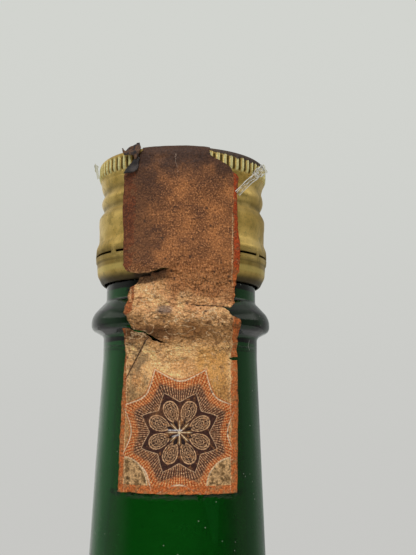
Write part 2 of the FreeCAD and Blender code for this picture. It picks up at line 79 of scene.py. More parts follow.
def number(name, default, description):
    return FloatProperty(name=name, description=description, default=default, min=0)


def size(name, default, description):
    """A length in millimetres that a user may change."""
    return number(name, default, f"{description}, in millimetres")


def colour(name, default, description):
    return FloatVectorProperty(
        name=name, description=description, default=shade(*default), subtype="COLOR", size=3, min=0, max=1
    )


class GlassSettings(bpy.types.PropertyGroup):
    body_radius: size("Body radius", 42.0, "Outer radius of the straight body")
    neck_radius: size("Neck radius", 14.5, "Outer radius just under the ring")
    ring_radius: size("Ring radius", 16.83, "Outer radius of the pouring ring")
    wall: size("Wall", 3.0, "Thickness of the glass")
    steps: IntProperty(name="Steps", description="Faces round the bottle", default=192, min=24)
    glass: colour("Glass", (118, 188, 112), "Tint of the light that enters or leaves the glass")
    depth_tint: colour("Depth tint", (75, 189, 158), "Colour that deep glass leaves of the light")
    depth: number("Depth", 400, "How fast deep glass darkens")
    dust: colour("Dust", (150, 152, 140), "Specks of dust on the glass")
    smear: colour("Smear", (44, 60, 40), "Old glue under the strip's lower edge")


class DrinkSettings(bpy.types.PropertyGroup):
    level: size("Level", LEVEL, "Height of the drink's surface")
    drink: colour("Drink", (236, 200, 140), "Colour of light that has crossed the drink")


class CapSettings(bpy.types.PropertyGroup):
    radius: size("Crown radius", 16.1, "Outer radius over the ribs")
    sheet: size("Sheet", 0.32, "Thickness of the aluminium")
    ribs: IntProperty(name="Ribs", description="Fine ribs round the crown", default=72, min=12)
    metal: colour("Metal", (255, 218, 128), "Aged gold lacquer on the aluminium")
    tarnish: colour("Tarnish", (196, 160, 72), "Olive tarnish of the hollows")
    residue: colour("Residue", (66, 54, 46), "Dry dark residue on the crown")


class PaperSettings(bpy.types.PropertyGroup):
    width: size("Width", 22.4, "Full width of the strip")
    paper: size("Paper", 0.12, "Thickness of the paper")
    cell: size("Cell", 0.42, "Largest face of the front leg")
    star_across: FloatProperty(
        name="Star across", description="Middle of the rosette, from the strip's middle", default=0.55
    )
    star_drop: size("Star drop", 49.95, "Middle of the rosette below the cap's top")
    beige: colour("Beige", (255, 204, 138), "Clean old paper")
    brown: colour("Brown", (124, 81, 49), "Stained paper on the cap")
    chocolate: colour("Chocolate", (64, 46, 38), "Darkest stains")
    orange: colour("Orange", (188, 94, 38), "Orange ink")
    ink: colour("Ink", (64, 38, 30), "Dark brown ink")


class FilmSettings(bpy.types.PropertyGroup):
    width: size("Width", 1.4, "Width of the torn film")
    tint: colour("Tint", (240, 238, 228), "Clear film")


class StageSettings(bpy.types.PropertyGroup):
    floor_radius: size("Floor radius", 900.0, "Radius of the round floor")
    floor: colour("Floor", (208, 208, 204), "Pale floor")
    backdrop: colour("Backdrop", (210, 212, 207), "Pale backdrop")
    key: number("Key", 10.5, "Strength of the large soft lamp")
    fill: number("Fill", 3.5, "Strength of the soft side lamp")


def math_node(operation, swapped=False):
    """A method that makes one Math node; swapped puts the socket's own value last."""
    def method(self, *others):
        values = (*others, self) if swapped else (self, *others)
        return self.finish.node("ShaderNodeMath", {"operation": operation}, dict(enumerate(values)))
    return method


class Socket:
    """A shader value; calculating with it adds Math nodes."""

    def __init__(self, finish, link):
        self.finish = finish
        self.link = link

    __add__ = __radd__ = math_node("ADD")
    __sub__ = math_node("SUBTRACT")
    __rsub__ = math_node("SUBTRACT", swapped=True)
    __mul__ = __rmul__ = math_node("MULTIPLY")
    __truediv__ = math_node("DIVIDE")
    __pow__ = math_node("POWER")
    __mod__ = math_node("FLOORED_MODULO")
    __gt__ = math_node("GREATER_THAN")
    __lt__ = math_node("LESS_THAN")
    __abs__ = math_node("ABSOLUTE")
    least = math_node("MINIMUM")
    most = math_node("MAXIMUM")
    sine = math_node("SINE")
    cosine = math_node("COSINE")
    root = math_node("SQRT")
    angle = math_node("ARCTAN2")

    def rise(self, low, high):
        """0 below low, 1 above high, smooth between; the other way round where low is the higher."""
        settings = {"interpolation_type": "SMOOTHSTEP"}
        return self.finish.node("ShaderNodeMapRange", settings, {0: self, 1: low, 2: high})

    def near(self, middle, half, soft):
        """1 within half of the middle, fading over soft."""
        return abs(self - middle).rise(half + soft, half)


class Finish:
    """A material or a world, and its nodes. A colour given as a tuple is a screen colour of 0 to 255."""

    def __init__(self, owner):
        owner.use_nodes = True
        self.owner = owner
        self.tree = owner.node_tree
        self.tree.nodes.clear()

    def node(self, kind, settings=None, sockets=None, outlet=0):
        node = self.tree.nodes.new(kind)
        for name, value in (settings or {}).items():
            setattr(node, name, value)
        for name, value in (sockets or {}).items():
            if isinstance(value, Socket):
                self.tree.links.new(value.link, node.inputs[name])
                continue
            if node.inputs[name].type == "RGBA":
                value = (*(shade(*value) if isinstance(value, tuple) else value), 1)
            node.inputs[name].default_value = value
        return Socket(self, node.outputs[outlet]) if len(node.outputs) else node

    def vector(self, operation, first, second, name=1):
        return self.node("ShaderNodeVectorMath", {"operation": operation}, {0: first, name: second})

    def scaled(self, vector, amounts):
        return self.vector("MULTIPLY", vector, amounts)

    def shifted(self, vector, offset):
        return self.vector("ADD", vector, offset)

    def tone(self, tint, amount):
        """The colour times a number, brighter or darker."""
        return self.vector("SCALE", tint, amount, "Scale")

    def place(self):
        """Object coordinates in millimetres, as a vector."""
        at = self.node("ShaderNodeTexCoord", None, None, "Object")
        return self.scaled(at, (1000, 1000, 1000))

    def stored(self, name, outlet="Vector"):
        """A value that the mesh keeps at each of its points."""
        return self.node("ShaderNodeAttribute", {"attribute_name": name}, None, outlet)

    def parts(self, vector):
        split = self.node("ShaderNodeSeparateXYZ", None, {0: vector})
        return [Socket(self, link) for link in split.link.node.outputs]

    def grain(self, vector, scale, detail=2.0, rough=0.5):
        """Soft noise of about 0.2 to 0.8, with that many lumps to the millimetre."""
        sockets = {"Vector": vector, "Scale": scale, "Detail": detail, "Roughness": rough}
        return self.node("ShaderNodeTexNoise", None, sockets, 0)

    def spots(self, vector, scale):
        """Distance from the nearest of many scattered points, in cells."""
        sockets = {"Vector": vector, "Scale": scale}
        return self.node("ShaderNodeTexVoronoi", None, sockets, "Distance")

    def mix(self, factor, first, second):
        sockets = {0: factor, 6: first, 7: second}
        return self.node("ShaderNodeMix", {"data_type": "RGBA"}, sockets, 2)

    def coats(self, base, *coats):
        """Lays colours over the base in turn; each coat is how much of it, and its colour."""
        for amount, coat in coats:
            base = self.mix(amount, base, coat)
        return base

    def bump(self, height, depth, normal=None):
        sockets = {"Height": height, "Distance": depth * MM}
        if normal is not None:
            sockets["Normal"] = normal
        return self.node("ShaderNodeBump", None, sockets)

    def skin(self, tint, roughness, **more):
        """The main shader; names in more are sockets, with _ for a space."""
        sockets = {"Base Color": tint, "Roughness": roughness}
        sockets.update((name.replace("_", " "), value) for name, value in more.items())
        return self.node("ShaderNodeBsdfPrincipled", None, sockets)

    def covered(self, mask, under, cover):
        return self.node("ShaderNodeMixShader", None, {0: mask, 1: under, 2: cover})

    def surface(self, shader, volume=None):
        sockets = {"Surface": shader} if volume is None else {"Surface": shader, "Volume": volume}
        self.node("ShaderNodeOutputMaterial", None, sockets)
        return self.owner


def new_finish(name):
    return Finish(bpy.data.materials.new(name))


def smooth_between(stops, at):
    """The value at a place on a line through the stops, eased where it bends."""
    def straight(x):
        if x <= stops[0][0]:
            return stops[0][1]
        for (x0, y0), (x1, y1) in zip(stops, stops[1:]):
            if x <= x1:
                return y0 + (y1 - y0) * (x - x0) / (x1 - x0)
        return stops[-1][1]
    reach = (-0.9, -0.45, 0.0, 0.45, 0.9)
    return sum(straight(at + offset) for offset in reach) / len(reach)


def bell(value, middle, width):
    return math.exp(-((value - middle) / width) ** 2)


def ease(value, low, high):
    part = min(max((value - low) / (high - low), 0.0), 1.0)
    return part * part * (3 - 2 * part)


def scatter(point):
    """Three smooth values between -1 and 1 at a point, the same on every run."""
    shifts = ((9.3, 1.5, 8.0), (1.6, 6.3, 4.4), (5.2, 7.7, 3.1))
    return Vector([noise.noise(point + Vector(shift)) for shift in shifts])


def face_outward(bm):
    """Turns a thin sheet's faces away from the upright axis, so that it thickens outward."""
    bmesh.ops.recalc_face_normals(bm, faces=bm.faces)
    outward = sum(face.normal.xy.dot(face.calc_center_median().xy) for face in bm.faces)
    if outward < 0:
        bmesh.ops.reverse_faces(bm, faces=bm.faces)


def rounded_line(bm, corners):
    """A chain of edges through (radius, height, rounding) in millimetres."""
    verts = [bm.verts.new((corner[0] * MM, 0, corner[1] * MM)) for corner in corners]
    for first, second in zip(verts, verts[1:]):
        bm.edges.new((first, second))
    places = [vert.co.copy() for vert in verts]
    for index in range(1, len(corners) - 1):
        if len(corners[index]) < 3:
            continue
        before = places[index] - places[index - 1]
        after = places[index + 1] - places[index]
        turn = before.angle(after)
        bmesh.ops.bevel(
            bm, geom=[verts[index]], offset=corners[index][2] * MM * math.tan(turn / 2),
            offset_type="OFFSET", segments=max(3, round(turn / math.radians(7))), profile=0.5,
            affect="VERTICES", material=-1,
        )


def spin_round(bm, steps):
    """Turns the chain of edges once round the upright axis and closes it."""
    bmesh.ops.spin(
        bm, geom=bm.verts[:] + bm.edges[:], cent=(0, 0, 0), axis=(0, 0, 1), dvec=(0, 0, 0),
        angle=math.tau, steps=steps, use_merge=True, use_normal_flip=False, use_duplicate=False,
    )
    bmesh.ops.remove_doubles(bm, verts=bm.verts, dist=0.00001)
    bmesh.ops.recalc_face_normals(bm, faces=bm.faces)


def put(name, data):
    """A new object in the scene."""
    item = bpy.data.objects.new(name, data)
    bpy.context.scene.collection.objects.link(item)
    return item


def finish_piece(bm, name, material, replaces=None, sharp=40):
    """Puts the mesh in the scene as a piece of the bottle."""
    for face in bm.faces:
        face.smooth = True
    for edge in bm.edges:
        edge.smooth = edge.calc_face_angle(0) < math.radians(sharp)
    mesh = bpy.data.meshes.new(name)
    bm.to_mesh(mesh)
    bm.free()
    piece = put(name, mesh)
    mesh.materials.append(material)
    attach(piece, "root")
    if replaces:
        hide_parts(replaces)
    return piece


def give_thickness(piece, thickness, offset):
    solid = piece.modifiers.new("Thickness", "SOLIDIFY")
    solid.thickness = thickness * MM
    solid.offset = offset
    solid.use_quality_normals = True


def glass_finish(sizes):
    """Dark green bottle glass with dust, a fine mould line darkened by painted shade and a smear of old
    glue.
    """
    finish = new_finish("green bottle glass")
    at = finish.place()
    x, y, z = finish.parts(at)
    front = y < 0
    waves = finish.grain(finish.scaled(at, (1, 1, 0.35)), 0.11)
    mould = z.near(TOP - MOULD_DROP, 0.05, 0.09)
    normal = finish.bump(mould, -0.05, finish.bump(waves, 0.28))
    # Painted shade: the glass tint is darkened along the mould line; the bump is the seam itself.
    dark = finish.mix(mould * 0.6, sizes.glass, (20, 44, 20))
    clear = finish.skin(dark, 0.02, IOR=1.5, Transmission_Weight=1.0, Normal=normal)
    specks = finish.spots(at, 0.8).rise(0.13, 0.06) * (finish.grain(at, 0.35) > 0.53)
    edge = finish.grain(finish.scaled(at, (1, 1, 0)), 0.6, 3.0)
    glue = z.near(TOP - GLUE_DROP, 1.1, 0.3) * abs(x).rise(10.7, 10.2) * front
    ragged = (z - (TOP - GLUE_EDGE_DROP) - edge * 3.0).rise(-0.1, 0.25)
    glue = glue * ragged * edge.rise(0.36, 0.56)
    rise_off = abs(z - (TOP - SCRATCH_DROP))
    scratch = (x - 12.5 - rise_off * 0.3).near(0, 0.03, 0.05) * rise_off.rise(1.1, 0.8) * front
    mask = (specks * 0.55).most(glue * 0.75).most(scratch * 0.5)
    dirt = finish.skin(finish.mix(glue > 0, sizes.dust, sizes.smear), 0.8)
    sockets = {"Color": sizes.depth_tint, "Density": sizes.depth}
    deep = finish.node("ShaderNodeVolumeAbsorption", None, sockets)
    return finish.surface(finish.covered(mask, clear, dirt), deep)


def drink_finish(sizes):
    finish = new_finish("amber drink")
    cloud = finish.grain(finish.place(), 0.05)
    warm = finish.mix(cloud, sizes.drink, finish.tone(sizes.drink, 0.92))
    return finish.surface(finish.skin(warm, 0.0, IOR=1.35, Transmission_Weight=1.0))


class BOTTLE_OT_glass(bpy.types.Operator):
    """Spin the glass bottle with its punt, shoulder, tapered neck, pouring ring and finish"""
    bl_idname = "bottle.glass"
    bl_label = "Glass"

    def execute(self, context):
        sizes = context.scene.bottle_glass
        body = sizes.body_radius
        neck = sizes.neck_radius
        ring = sizes.ring_radius
        wall = sizes.wall
        bm = bmesh.new()
        rounded_line(bm, [
            (0, 12), (8, 12, 30), (body - 9, 0, 1.2), (body, 0, 6),
            (body, 130.05, 42), (19.34, 157.61, 62),
            (neck, 262.9), (neck, 266.9, 0.9), (neck + 1.2, 267.55, 0.5), (ring, 268.1, 1.25),
            (ring, 270.6, 3.0), (neck - 0.35, 273.4, 0.8), (neck - 0.37, 279.2),
            (15.2, 280.0), (15.2, 282.2), (14.03, 283.0), (14.03, 299.5, 0.8), (10.03, 299.5, 0.8),
            (10.03, 283.0, 4), (neck - wall, TAPER_TOP, 30), (16.4, 158.8, 65), (body - wall, 131.3, 39),
            (body - wall, 7, 9), (18, 7, 30), (0, 17),
        ])
        spin_round(bm, sizes.steps)
        finish_piece(bm, "glass", glass_finish(sizes), "glass_bottle")
        return {"FINISHED"}


class BOTTLE_OT_drink(bpy.types.Operator):
    """Fill the bottle up to the level in its neck, reaching just into the wall"""
    bl_idname = "bottle.drink"
    bl_label = "Drink"

    def execute(self, context):
        sizes = context.scene.bottle_drink
        glass = context.scene.bottle_glass
        wall = glass.wall - 0.15
        edge = glass.neck_radius - wall + (TAPER_TOP - sizes.level) * 0.046
        bm = bmesh.new()
        rounded_line(bm, [
            (0, 16.85), (18, 6.85, 30), (glass.body_radius - wall, 6.85, 9),
            (glass.body_radius - wall, 131.3, 39), (16.55, 158.8, 65), (edge, sizes.level),
            (edge - 0.15, sizes.level), (edge - 1.1, sizes.level - 0.7, 1.2), (0, sizes.level - 0.7),
        ])
        spin_round(bm, glass.steps)
        finish_piece(bm, "drink_fill", drink_finish(sizes), "drink")
        return {"FINISHED"}


def cap_finish(sizes):
    """Aged gold lacquer over aluminium, tarnished olive, with dry residue on the crown, painted shade in
    its grooves and on its foot, and painted highlights on the rib crests and above the foot.
    """
    finish = new_finish("aged gold aluminium")
    at = finish.place()
    x, y, z = finish.parts(at)
    drop = TOP - z
    broad = finish.grain(at, 0.16, 3.0, 0.55)
    streaks = finish.grain(finish.scaled(at, (1, 1, 0.2)), 0.9, 3.0, 0.6)
    fine = finish.grain(at, 3.2, 3.0, 0.6)
    stain = (broad * 1.5 + streaks * 0.25 - 0.35).rise(0.25, 0.8)
    pressed = finish.stored("pressed", "Fac")
    # Painted shade: darker in the pressed grooves, along the break slit, in the skirt's grooves and over
    # the rolled foot.
    hollow = (pressed * (0.6 + broad * 0.8)).rise(0.05, 0.75) * 0.75
    hollow = hollow.most(drop.near(18.3, 0.3, 1.2) * 0.5).most(drop.rise(21.4, 23.6) * 0.5)
    hollow = hollow.most(drop.near(10.6, 0.2, 0.7) * 0.25).most(drop.near(19.5, 0.1, 0.3) * 0.5)
    # Painted shade of the hollows, with real specks and fine dirt added.
    grime_and_shade = hollow + finish.spots(at, 1.1).rise(0.14, 0.04) * 0.5 + fine.rise(0.58, 0.68) * 0.35
    blotch = finish.grain(finish.shifted(at, (9, 4, 2)), 0.42, 4.0, 0.65).rise(0.5, 0.66)
    ribbed = drop.near(2.2, 0.9, 0.6)
    # Painted shadow cast by the paper's torn lip on the cap's foot.
    lip_shadow = x.near(-4.9, 2.6, 1.0) * drop.near(22.6, 0.5, 0.5) * (y < 0)
    metal = finish.coats(
        sizes.metal,
        (stain * 0.75, sizes.tarnish),
        (blotch * 0.4, (140, 118, 52)),
        # Painted shade in the hollows, with grime.
        (grime_and_shade.least(1) * (1 - ribbed), (78, 68, 24)),
        # Painted highlight on the rib crests and painted shade in the grooves between them.
        (ribbed * pressed.rise(0.22, 0.05) * 0.95, (255, 246, 178)),
        (ribbed * pressed.rise(0.2, 0.36) * 0.95, (84, 66, 16)),
        # Painted shade in the groove below the slit, a painted highlight just above the foot and painted
        # shadow over the rolled foot.
        (drop.near(20.0, 0.3, 0.4) * 0.4, (100, 76, 26)),
        (drop.near(21.0, 0.25, 0.5) * 0.55, (255, 228, 136)),
        (drop.rise(21.5, 23.0) * 0.85, (44, 32, 16)),
        # Painted shadow under the paper's torn lip.
        (lip_shadow * 0.85, (58, 38, 24)),
    )
    right = x.rise(2, 7)
    ragged = finish.grain(at, 0.9, 4.0, 0.65)
    reach = 0.15 + right * 0.75 + x.rise(6, 11) * 0.35 + (ragged - 0.5) * 1.6
    crust = (reach - drop).rise(-0.08, 0.08)
    crust = crust * finish.grain(at, 0.22, 4.0, 0.6).rise(0.33, 0.42).most(drop.rise(0.02, 0.3))
    dry = finish.mix(fine, sizes.residue, finish.tone(sizes.residue, 1.9))
    shine = 0.3 + stain * 0.14 + grime_and_shade * 0.2 - ribbed * pressed.rise(0.2, 0.05) * 0.12
    bare = 0.82 - grime_and_shade * 0.5 * (1 - ribbed) - ribbed * 0.3
    gold = finish.skin(metal, shine, Metallic=bare, Normal=finish.bump(fine + broad * 2, 0.05))
    matt = finish.skin(dry, 0.85, Normal=finish.bump(ragged + fine * 0.4, 0.35))
    return finish.surface(finish.covered(crust, gold, matt))


def roll_depth(turn, drop):
    """How deep the rolled thread lies at an angle in turns from the right, and a drop."""
    depth = 0.0
    for whole, low_drop, high_drop in ((0, 5.4, 6.3), (1, 8.9, 9.3)):
        for start, first, second in ((0.0, low_drop, high_drop), (0.5, high_drop, high_drop + 2.6)):
            inside = (turn - start) / 0.5
            if not 0 <= inside <= 1:
                continue
            middle = first + (second - first) * ease(inside, 0, 1)
            strength = 1.0
            if whole == 0 and start == 0.0:
                strength = 0.5 + 0.5 * ease(inside, 0, 1)
            if whole == 1 and start == 0.5:
                strength = 1 - ease(inside, 0.1, 0.7)
            depth += strength * bell(drop, middle, 0.95)
    start_fade = 1 - ease(turn, 0.75, 1.0)
    depth += (0.5 - 0.5 * start_fade) * bell(drop, 5.4 - (1 - turn) * 2.0, 0.95)
    return depth


class BOTTLE_OT_cap(bpy.types.Operator):
    """Form the screw cap: crown, fine ribs, rolled thread, skirt, break slit and rolled foot"""
    bl_idname = "bottle.cap"
    bl_label = "Screw cap"

    def execute(self, context):
        sizes = context.scene.bottle_cap
        crown = sizes.radius
        bm = bmesh.new()
        drops = [
            (0, 0), (4, 0), (8, 0), (11, 0), (13, 0), (crown, 0, 1.35),
            (crown, 3.1, 1.2), (crown - 0.6, 3.9, 1.0), (crown - 0.6, 9.9, 1.2),
            (crown - 0.32, 10.9, 1.2), (crown - 0.32, 15.5, 1.5), (crown + 0.15, 16.7, 1.2),
            (crown + 0.2, 18.05), (crown + 0.2, 18.5),
            (crown + 0.12, 19.3), (crown - 0.02, 19.5), (crown - 0.08, 19.75), (crown - 0.22, 21.6, 1.4),
            (crown - 1.0, 23.2, 0.9), (14.75, 23.5),
        ]
        rounded_line(bm, [(radius, TOP - drop, *rest) for radius, drop, *rest in drops])
        for level in (1.75, 2.2, 2.65, 3.0, 3.4):
            self.cut(bm, level)
        for row in range(18):
            self.cut(bm, 4.3 + row * 0.36)
        for row in range(6):
            self.cut(bm, 11.5 + row * 0.8)
        spin_round(bm, sizes.ribs * 6)
        self.delete_slits(bm)
        pressed = bm.verts.layers.float.new("pressed")
        for vert in bm.verts:
            vert[pressed] = self.shape(vert, sizes)
        piece = finish_piece(bm, "gold_cap", cap_finish(sizes), "screw_cap", 55)
        give_thickness(piece, sizes.sheet, -1)
        return {"FINISHED"}

    def cut(self, bm, drop):
        geometry = bm.verts[:] + bm.edges[:]
        level = (0, 0, (TOP - drop) * MM)
        bmesh.ops.bisect_plane(bm, geom=geometry, plane_co=level, plane_no=(0, 0, 1), dist=0.000001)

    def delete_slits(self, bm):
        """Opens the break slit, and leaves ten narrow bridges."""
        open_faces = []
        for face in bm.faces:
            middle = face.calc_center_median() / MM
            if abs(middle.z - (TOP - SLIT_DROP)) > 0.2:
                continue
            side = math.degrees(math.atan2(middle.x, -middle.y))
            bridge = (side + 47 + 18) % 36 - 18
            if abs(bridge) > 1.8:
                open_faces.append(face)
        bmesh.ops.delete(bm, geom=open_faces, context="FACES")

    def shape(self, vert, sizes):
        """Presses in the ribs and the rolled thread, dents the sheet a little, and says how deep."""
        place = vert.co / MM
        radius = math.hypot(place.x, place.y)
        if radius < 13.2:  # the flat middle of the crown
            return 0.0
        drop = TOP - place.z
        around = math.atan2(place.x, -place.y)
        rib = 0.5 + 0.5 * math.cos(around * sizes.ribs)
        strength = ease(drop, 0.5, 1.3) * (1 - ease(drop, 3.0, 3.9))
        press = 0.48 * strength * (1 - rib ** 0.8)
        turn = (0.25 - around / math.tau) % 1.0
        if 3.6 < drop < 12.5:
            press += 0.62 * roll_depth(turn, drop) - 0.08
        wobble = noise.noise(Vector((math.sin(around) * 2.2, math.cos(around) * 2.2, drop * 0.16)))
        press += 0.07 * wobble * ease(drop, 2, 6)
        scale = (radius - press) / radius
        vert.co.x *= scale
        vert.co.y *= scale
        return press


STRIP_RADIUS = 16.15
# The upright path that the strip lies on, as (drop below the cap's top, radius).
STRIP_PATH = [
    (1.5, STRIP_RADIUS), (6, 16.12), (16, 16.2), (17, 16.45), (19, 16.6), (21.5, 16.5), (23.5, 16.1),
    (25, 16.1), (27, 16.4), (29, 17.0), (30.5, 17.15), (32, 16.9), (33, 16.2), (34, 15.6), (36, 14.95),
    (38, 14.8), (60.2, 15.85),
]
# The torn sides of the front leg, as (across the front, drop). The left one runs up, the right one down.
LEFT_TEAR = [
    (-9.88, 60.05), (-9.74, 58.7), (-9.78, 51.8), (-9.61, 48.4), (-9.63, 44.9), (-9.36, 40.3),
    (-9.17, 37.7), (-9.05, 36.5), (-9.04, 35.25), (-9.28, 34.05), (-9.44, 32.4), (-8.1, 32.5),
    (-7.35, 33.0), (-5.5, 33.3), (-4.21, 34.45), (-2.87, 34.85), (-1.5, 34.95), (-2.87, 34.45),
    (-4.15, 34.0), (-5.55, 33.0), (-7.41, 32.7), (-8.02, 32.2), (-8.39, 31.15), (-8.58, 30.5),
    (-9.2, 29.7), (-8.9, 28.6), (-8.5, 27.5), (-8.7, 26.5), (-8.6, 25.1), (-7.5, 24.5), (-7.1, 23.5),
    (-5.83, 23.1), (-4.7, 23.0), (-3.6, 22.75), (-2.5, 22.35), (-1.6, 22.1), (-2.61, 22.1), (-3.71, 22.5),
    (-4.73, 22.8), (-5.86, 22.9), (-7.7, 22.8), (-8.65, 22.4), (-9.48, 21.3), (-9.5, 20.8),
    (-9.8, 18.5), (-9.75, 16.6), (-9.9, 14.8), (-10.1, 12.0), (-10.1, 9.3), (-10.0, 6.5),
    (-10.06, 4.7), (-8.3, 2.8), (-6.6, 0.75), (-6.8, -0.6),
]
RIGHT_TEAR = [
    (5.2, -0.6), (5.29, 1.7), (6.92, 2.35), (7.93, 2.84), (8.9, 3.3), (9.2, 4.0), (9.98, 4.5),
    (10.37, 5.05), (10.0, 8.5), (10.14, 11.65), (10.16, 14.2), (10.46, 17.05), (10.45, 19.45),
    (10.4, 22.1), (9.96, 22.7), (9.95, 23.7), (9.64, 25.0), (9.52, 26.8), (9.7, 27.7), (9.32, 28.1),
    (8.82, 28.7), (7.47, 28.55), (8.08, 28.8), (8.94, 29.75), (9.56, 30.1), (10.58, 30.4),
    (10.75, 30.6), (10.7, 31.8), (10.35, 32.8), (10.09, 33.8), (10.17, 35.8), (10.28, 36.9),
    (8.82, 37.3), (9.0, 37.5), (10.28, 37.6), (10.38, 39.4), (10.51, 44.7), (10.41, 51.7),
    (10.43, 58.6), (10.35, 60.15),
]
CROWN_TURN = 1.5
CROWN_ROUND = 1.55
CROWN_LENGTH = CROWN_ROUND * math.pi / 2
LID_RADIUS = STRIP_RADIUS - CROWN_ROUND
LID_START = CROWN_TURN - CROWN_LENGTH
LID_END = LID_START - LID_RADIUS * 2
BACK_START = LID_END - CROWN_LENGTH


def path_radius(drop):
    return smooth_between(STRIP_PATH, drop)


def along_strip(across, drop):
    """How far round from the strip's middle a point across the front lies on the paper."""
    radius = path_radius(max(drop, CROWN_TURN))
    return radius * math.asin(across / radius)


def on_strip(across, down, lift):
    """The place of a point of the flat strip once it is laid over the cap, in millimetres."""
    if down > CROWN_TURN:
        radius = path_radius(down) + lift
        turn = across / (radius - lift)
        return (radius * math.sin(turn), -radius * math.cos(turn), TOP - down)
    if down < BACK_START:
        drop = CROWN_TURN + BACK_START - down
        radius = path_radius(drop) + lift
        turn = across / (radius - lift)
        return (radius * math.sin(turn), radius * math.cos(turn), TOP - drop)
    x = STRIP_RADIUS * math.sin(across / STRIP_RADIUS)
    if down > LID_START or down < LID_END:
        part = (CROWN_TURN - down) if down > LID_START else (down - BACK_START)
        bend = part / CROWN_ROUND
        radius = LID_RADIUS + (CROWN_ROUND + lift) * math.sin(math.pi / 2 - bend)
        height = TOP - CROWN_TURN + (CROWN_ROUND + lift) * math.sin(bend)
        side = -1 if down > LID_START else 1
        return (x, side * math.sqrt(max(radius * radius - x * x, 0.0)), height)
    reach = 1 - 2 * (LID_START - down) / (LID_START - LID_END)
    height = TOP - CROWN_TURN + CROWN_ROUND + lift
    return (x, -math.sqrt(LID_RADIUS ** 2 - x * x) * reach, height)


def cut_sheet(bm, outline, cells, ragged):
    """A flat sheet inside the outline, torn a little ragged and cut into small faces."""
    verts = [bm.verts.new((across, down, 0)) for across, down in outline]
    bm.faces.new(verts)
    for edge in bm.edges[:]:
        cuts = int(edge.calc_length() / ragged[0])
        if cuts:
            bmesh.ops.subdivide_edges(bm, edges=[edge], cuts=cuts)
    for vert in bm.verts:
        vert.co += scatter(vert.co * 1.3) * ragged[1]
        vert.co.z = 0
    for normal, start, end, step in cells:
        for count in range(round((end - start) / step) + 1):
            level = Vector(normal) * (start + count * step)
            geometry = bm.verts[:] + bm.edges[:] + bm.faces[:]
            bmesh.ops.bisect_plane(bm, geom=geometry, plane_co=level, plane_no=normal, dist=0.0005)
    bmesh.ops.triangulate(bm, faces=[face for face in bm.faces if len(face.verts) > 4])


def creases(across, down):
    """Height of the folds in the laid paper, in millimetres."""
    point = Vector((across, down, 0))
    broad = noise.noise(point * 0.16)
    ridge = 1 - abs(noise.noise(Vector((across * 0.22 + down * 0.06, down * 0.42, 3.1)))) * 2.4
    sharp = 1 - abs(noise.noise(Vector((across * 0.5, down * 0.8 + across * 0.2, 7.7)))) * 2.6
    tent = ease(down, 20.5, 25) * (1 - ease(down, 34, 38.5))
    flat = 0.06 + 0.42 * tent
    height = flat * (0.55 * ridge + 0.45 * sharp) + (0.06 + 0.2 * tent) * broad
    upright = 1 - abs(noise.noise(Vector((across * 0.8, down * 0.12, 5.0)))) * 3
    height += 0.035 * upright * ease(down, 5, 8) * (1 - ease(down, 22, 24))
    return height


def strip_lift(across, down):
    """How far the paper stands off its path: folds, loose torn lips and curling edges."""
    lift = creases(across, down) + 0.12
    lip = ease(down, 19.0, 22.6) * (1 - ease(across, -2.6, -0.6)) * (down < 23.05)
    lift += 0.55 * lip
    lip_line = LIP_DROP - 0.85 * ease(across, -5.4, -1.8)
    below = ease(down - lip_line, -0.05, 0.15) * (1 - ease(down, 23.6, 26.4))
    lift -= 0.95 * below * (1 - ease(across, -2.0, 0.6))
    lift += 0.3 * ease(across, 9.5, 11.4) * bell(down, 19, 4.5)
    lift -= 0.1 * ease(across, 9.0, 11.8) * bell(down, 31, 1.6)
    lift += 0.1 * ease(-across, 8.6, 10.2) * bell(down, 28.5, 2.5)
    lift -= 0.3 * bell(down, 33.6, 0.7) * (1 - 0.6 * ease(across, 4, 9))
    fold = across + 6.5 + (down - 36) * 0.62
    lift -= 0.16 * bell(fold, 0, 0.3) * ease(down, 33.5, 35) * (1 - ease(down, 40, 43))
    return max(lift, 0.03) if down < 22.9 or 29.5 < down < 32 else lift


class BOTTLE_OT_strip(bpy.types.Operator):
    """Lay the torn printed paper strip up the neck, over the cap and down the back"""
    bl_idname = "bottle.strip"
    bl_label = "Paper strip"

    def execute(self, context):
        sizes = context.scene.bottle_paper
        half = sizes.width / 2
        left = [(along_strip(across, drop), drop) for across, drop in LEFT_TEAR]
        right = [(along_strip(across, drop), drop) for across, drop in RIGHT_TEAR]
        foot = BACK_START + CROWN_TURN - STRIP_DROP
        back = [
            (-7.2, -6), (-6.6, -14), (-7.4, -24), (-7.0, BACK_START + 1),
            (-half + 1.2, BACK_START - 2.4), (-half, BACK_START - 4), (-half, foot), (half, foot),
            (half, BACK_START - 4.5), (half - 1.4, BACK_START - 2.6), (7.2, BACK_START + 1),
            (6.4, -22), (6.9, -12), (5.6, -5),
        ]
        bm = bmesh.new()
        cells = [
            ((0, 1, 0), -3.0, 60.0, sizes.cell), ((0, 1, 0), foot + 1, -4.0, 1.1),
            ((1, 0, 0), -half, half, sizes.cell),
        ]
        cut_sheet(bm, left + back + right, cells, (0.45, 0.16))
        places = bm.verts.layers.float_vector.new("flat")
        for vert in bm.verts:
            across, down = vert.co.x, vert.co.y
            behind = 6 * ease(-down, 4, 28)
            vert[places] = (across, max(down, CROWN_TURN + BACK_START - down), behind)
            vert.co = Vector(on_strip(across, down, strip_lift(across, down))) * MM
        face_outward(bm)
        piece = finish_piece(bm, "paper_strip", strip_finish(sizes), "tax_strip", 70)
        give_thickness(piece, sizes.paper, -1)
        return {"FINISHED"}


def star_edge(folded, point, valley, hollow):
    """Radius of an eight-pointed outline with hollow sides; folded is 0 at a point, 1 between two."""
    return (1 - folded) ** hollow * (point - valley) + valley


